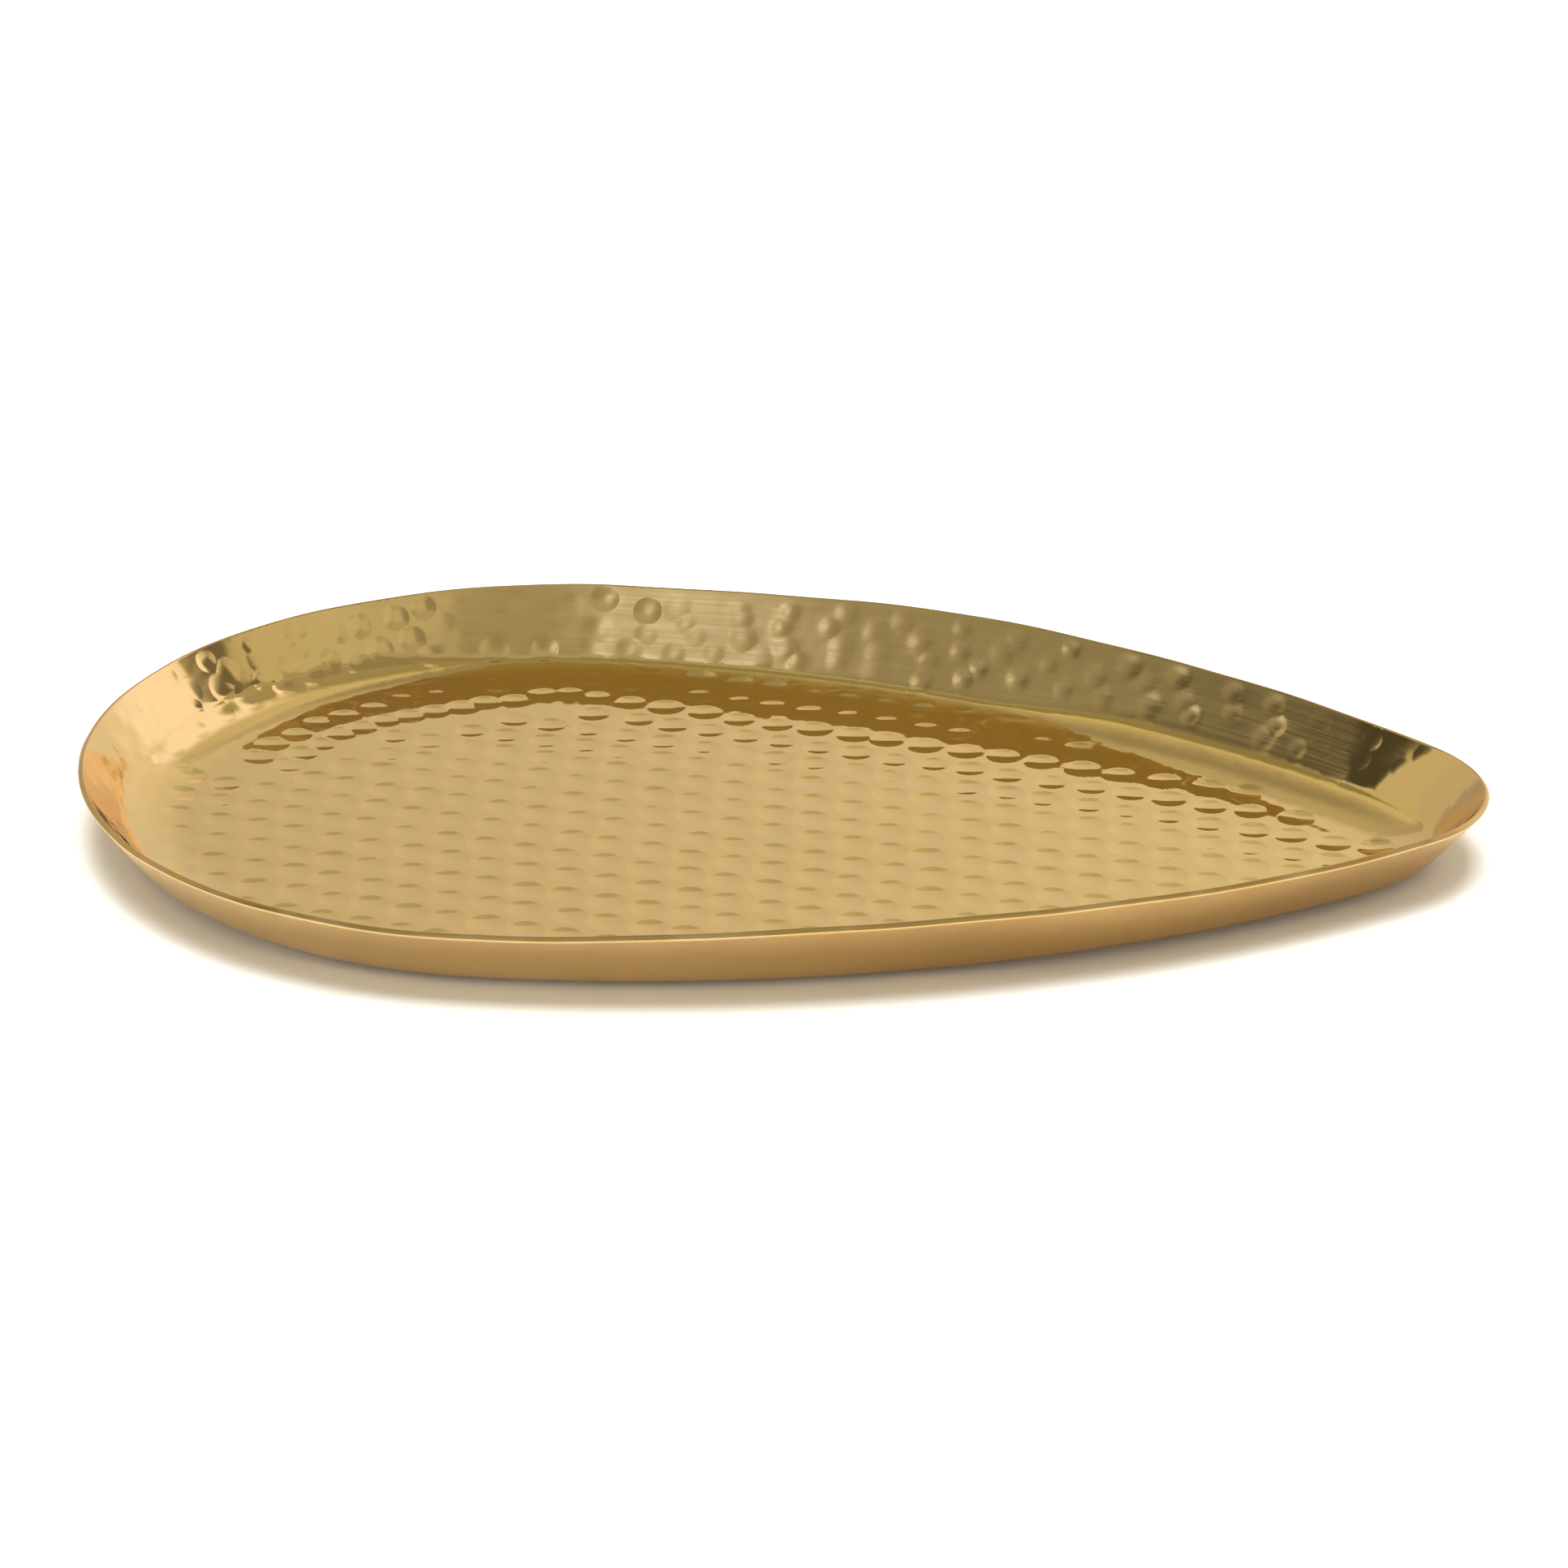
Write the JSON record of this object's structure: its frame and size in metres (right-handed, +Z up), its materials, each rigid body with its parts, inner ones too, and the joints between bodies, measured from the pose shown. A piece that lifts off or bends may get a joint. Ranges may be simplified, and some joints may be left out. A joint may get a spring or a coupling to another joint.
{
  "type": "serving tray",
  "caption": "Shallow teardrop serving tray with a flared wall, a cut rim and a hammered floor, raised from one sheet of brass.",
  "frame": {"origin": "middle of the tray's overall length and width, on the surface that its base stands on", "axes": "+X along the length towards the tip, +Y across the width, +Z up out of the open side"},
  "size_m": [0.35, 0.2302, 0.021],
  "materials": {
    "brass": "hammered and polished inside, satin outside"
  },
  "bodies": {
    "root": {"tray_shell": "brass"}
  },
  "joints": []
}
